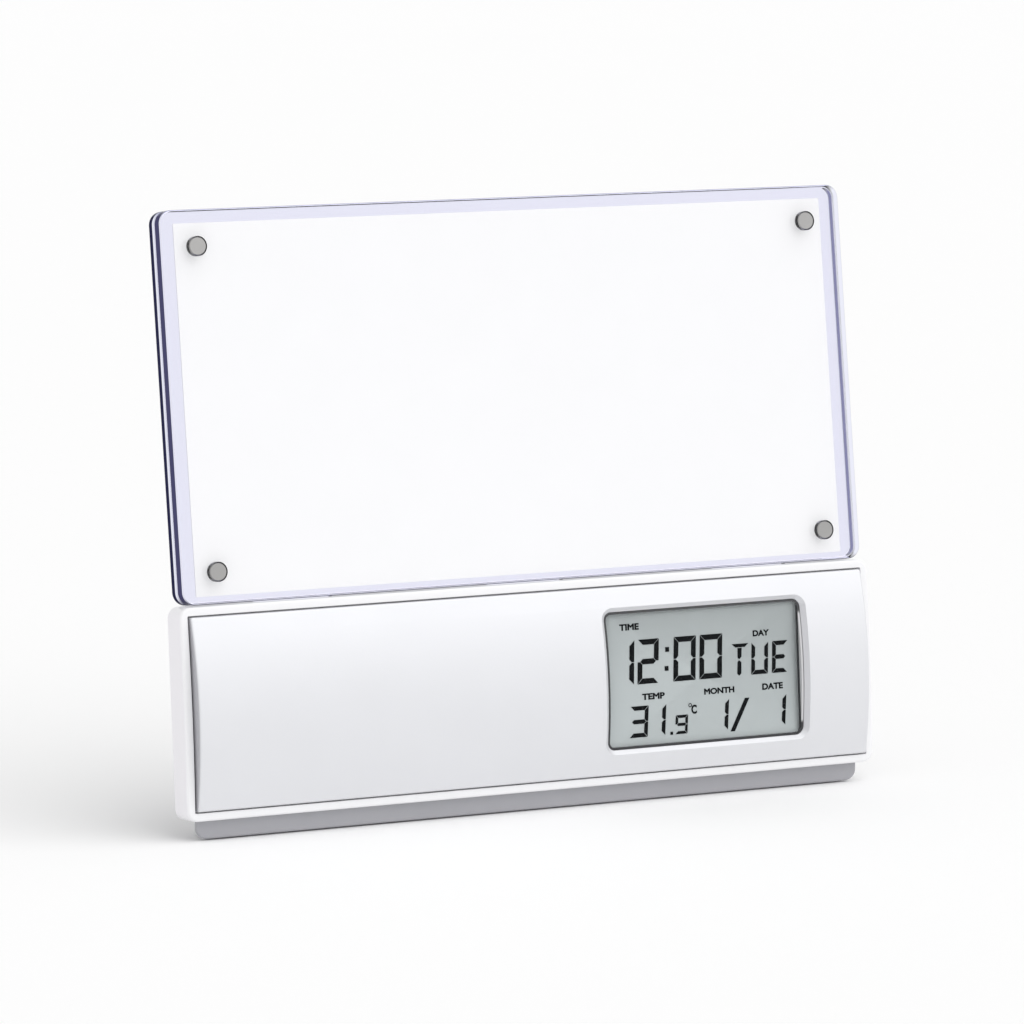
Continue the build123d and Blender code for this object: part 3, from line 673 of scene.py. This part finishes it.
# Painted reflections and shade on the edges: dark and bright painted reflections on the sides, a painted
# grey upper edge, painted shade on the lower edge, and in the magnets' pockets painted shade on the left
# and a painted reflection elsewhere
edge_graze = (0.47, 0.47, 0.47)
edge_navy_painted_reflection = (0.030, 0.031, 0.078)
edge_violet_painted_reflection = (0.085, 0.083, 0.175)
edge_lilac_painted_light = (0.20, 0.20, 0.37)
edge_painted_highlight = (0.86, 0.87, 0.96)
edge_pale_painted_light = (0.86, 0.87, 0.97)
edge_across_painted_reflection = (0.40, 0.41, 0.57)
edge_below_painted_shade = (0.10, 0.10, 0.16)
pocket_painted_shade = (0.015, 0.015, 0.018)
pocket_painted_reflection = (0.80, 0.80, 0.82)
pocket_reach = 0.0775

# Cosines between which an edge's faces pass over to the plate's side, and to its underside
side_turn = (0.3, 0.8)
below_turn = (0.05, 0.4)
# Leans between which the edge's mirror begins at the plate's back, and ends at its front
back_end = (0.03, 0.08)
front_end = (0.97, 0.92)
rightward = -leftward


def painted_mirror_edges(stops, inner_colour):
    """What makes mirrors of a plate's edges, for clear: it links them up on the plate's shader.

    The stops give the painted colour of the side edges by their lean towards the plate's front: 0 is
    the back, a half the side and 1 the front; their dark and bright bands are painted reflections. The
    upper edge is painted greyer as a painted reflection and the lower one darker as painted shade, and
    the magnets' pockets have painted shade on their left and a painted reflection elsewhere. From
    inside, a side edge is seen through, unbent and in the inner colour, a painted light band.
    """
    def paint_edge_reflections(tree, shader):
        lean = facing(tree, plate_normal, -1, 1)
        mask = multiplied(tree, ramped(tree, lean, *back_end), ramped(tree, lean, *front_end))
        to_right = measured(tree, "Object", rightward)
        to_left = measured(tree, "Object", leftward)
        reach = calculated(tree, "MAXIMUM", to_right, to_left)
        outer = calculated(tree, "GREATER_THAN", reach, pocket_reach)
        inside = tree.nodes.new("ShaderNodeNewGeometry").outputs["Backfacing"]
        left = facing(tree, leftward, *side_turn)
        sideways = calculated(tree, "ADD", left, facing(tree, rightward, *side_turn))
        pocket = blended(tree, multiplied(tree, left, inside), pocket_painted_reflection, pocket_painted_shade)
        across = blended(tree, facing(tree, -plate_up, *below_turn), edge_across_painted_reflection, edge_below_painted_shade)
        ends = blended(tree, outer, pocket, coloured(tree, lean, stops))
        colour = blended(tree, mask, (1, 1, 1), blended(tree, sideways, across, ends))
        tree.links.new(colour, shader.inputs["Base Color"])
        graze = blended(tree, mask, (1, 1, 1), edge_graze)
        tree.links.new(graze, shader.inputs["Specular Tint"])
        tree.links.new(mask, shader.inputs["Metallic"])
        tree.links.new(multiplied(tree, mask, edge_roughness), shader.inputs["Roughness"])
        inner = multiplied(tree, inside, outer)
        seen_through = multiplied(tree, inner, multiplied(tree, sideways, mask))
        return seen_through, blended(tree, seen_through, (1, 1, 1), inner_colour)
    return paint_edge_reflections


# Painted reflections on the side edges by lean: dark bands, and bright painted highlights
rear_stops = [(0.08, edge_navy_painted_reflection), (0.56, edge_navy_painted_reflection), (0.66, edge_painted_highlight)]
rear_acrylic = clear(
    "rear_acrylic", plate_waviness, plate_wave_size, acrylic_ior,
    deep_lavender, rear_depth_of_colour, painted_mirror_edges(rear_stops, edge_lilac_painted_light),
)
dress("rear_plate", rear_acrylic)
front_stops = [(0.36, edge_painted_highlight), (0.44, edge_violet_painted_reflection), (0.56, edge_violet_painted_reflection), (0.66, edge_painted_highlight)]
front_acrylic = clear(
    "front_acrylic", plate_waviness, plate_wave_size, acrylic_ior,
    deep_lavender, front_depth_of_colour, painted_mirror_edges(front_stops, edge_pale_painted_light),
)
dress("front_plate", front_acrylic)


# Photo card: a plain white sheet between the plates, uncoated, with the faint tooth of paper.
# It bears no print, as in the photograph.
card_white = (0.905, 0.905, 0.91)
card_roughness = 0.8
paper_tooth_size = 0.0003
paper_tooth_depth = 0.000006

card_paper = satin(
    "card_paper", card_white, card_roughness, paper_tooth_size, paper_tooth_depth,
    change=0.99,
)
dress("photo_card", card_paper)


# Magnets: small nickel-plated discs let into both plates, their faces finely brushed by handling.
# Their sides, down in the pockets, are painted nearly black as painted shade, and the clear plates
# lighten their shadows.
magnet_nickel = (0.36, 0.355, 0.35)
magnet_side_painted_shade = (0.03, 0.03, 0.032)
magnet_light_passed = 0.6
magnet_roughness = 0.3
magnet_grain_size = 0.0003
magnet_grain_depth = 0.000004
# Leans between which a magnet's side begins at its back, and ends at its front
magnet_back_end = (0.3, 0.4)
magnet_front_end = (0.7, 0.6)


def magnet_sides(tree):
    """1 on the faces that look neither to the plates' front nor to their back."""
    lean = facing(tree, plate_normal, -1, 1)
    beyond_back = ramped(tree, lean, *magnet_back_end)
    return multiplied(tree, beyond_back, ramped(tree, lean, *magnet_front_end))


magnet_plating = satin(
    "magnet_nickel", magnet_nickel, magnet_roughness, magnet_grain_size, magnet_grain_depth,
    change=0.92, metallic=1.0, side=magnet_side_painted_shade, side_faces=magnet_sides, passed=magnet_light_passed,
)
dress("front_magnets", magnet_plating)
dress("rear_magnets", magnet_plating)


# Floor: a plain pale tabletop that runs far behind the clock and keeps its shadow.
floor_white = (0.99, 0.99, 0.99)
floor_roughness = 0.8
floor_grain_size = 0.01
floor_reach = 14.0

floor_mesh = bpy.data.meshes.new("floor")
floor_corners = np.array([(-1, -1, 0), (1, -1, 0), (1, 1, 0), (-1, 1, 0)]) * floor_reach
floor_mesh.from_pydata(floor_corners.tolist(), [], [(0, 1, 2, 3)])
floor = bpy.data.objects.new("floor", floor_mesh)
bpy.context.scene.collection.objects.link(floor)
tabletop = satin("tabletop", floor_white, floor_roughness, floor_grain_size, 0.0, change=1.0)
floor_mesh.materials.append(tabletop)


# Light: an even pale room and one broad soft lamp above the clock, in front and to its right.
# The room looks white in itself and in polished faces, and lights matt ones a little less.
room_seen_level = 1.0
room_level = 0.68
lamp_level = 1.3
lamp_softness = math.radians(70)
lamp_from = Vector((0.45, -0.8, 1.0))

world = bpy.data.worlds.new("room")
bpy.context.scene.world = world
world.use_nodes = True
sky = world.node_tree
sky.nodes.clear()


def room_light(level):
    """White light from all sides."""
    background = sky.nodes.new("ShaderNodeBackground")
    background.inputs["Color"].default_value = (1, 1, 1, 1)
    background.inputs["Strength"].default_value = level
    return background.outputs["Background"]


ray = sky.nodes.new("ShaderNodeLightPath")
of_sight = calculated(sky, "MAXIMUM", ray.outputs["Is Camera Ray"], ray.outputs["Is Glossy Ray"])
of_sight = calculated(sky, "MAXIMUM", of_sight, ray.outputs["Is Transmission Ray"])
before_matt = calculated(sky, "LESS_THAN", ray.outputs["Diffuse Depth"], 0.5)
room_mix = sky.nodes.new("ShaderNodeMixShader")
room_out = sky.nodes.new("ShaderNodeOutputWorld")
sky.links.new(multiplied(sky, of_sight, before_matt), room_mix.inputs["Fac"])
sky.links.new(room_light(room_level), room_mix.inputs[1])
sky.links.new(room_light(room_seen_level), room_mix.inputs[2])
sky.links.new(room_mix.outputs["Shader"], room_out.inputs["Surface"])

lamp = bpy.data.lights.new("soft_lamp", "SUN")
lamp.energy = lamp_level
lamp.angle = lamp_softness
lamp_object = bpy.data.objects.new("soft_lamp", lamp)
lamp_object.rotation_mode = "QUATERNION"
lamp_object.rotation_quaternion = lamp_from.to_track_quat("Z", "Y")
bpy.context.scene.collection.objects.link(lamp_object)


# Camera: a long lens to the clock's left and a little above it, as the photograph was taken.
# Its place is given from the middle of the rim's lower front edge.
camera_turn = math.radians(28)
camera_dip = math.radians(7.13)
focal_pixels = 6062
image_pixels = 1024
sensor_width = 36.0
camera_offset = Vector((-0.59205, -1.1007, 0.21515))
rim_height = 0.04365
rim_setback = 0.0006

rim_bottom = pane_centre - up * (rim_height / 2) - out * rim_setback
rim_bottom.x = 0
camera_data = bpy.data.cameras.new("photo_camera")
camera_data.sensor_width = sensor_width
camera_data.lens = focal_pixels / image_pixels * sensor_width
camera = bpy.data.objects.new("photo_camera", camera_data)
camera.location = rim_bottom + camera_offset
look = Vector((
    math.sin(camera_turn) * math.cos(camera_dip),
    math.cos(camera_turn) * math.cos(camera_dip),
    -math.sin(camera_dip),
))
camera.rotation_mode = "QUATERNION"
camera.rotation_quaternion = look.to_track_quat("-Z", "Y")
bpy.context.scene.collection.objects.link(camera)
bpy.context.scene.camera = camera
bpy.context.scene.view_settings.view_transform = "Standard"
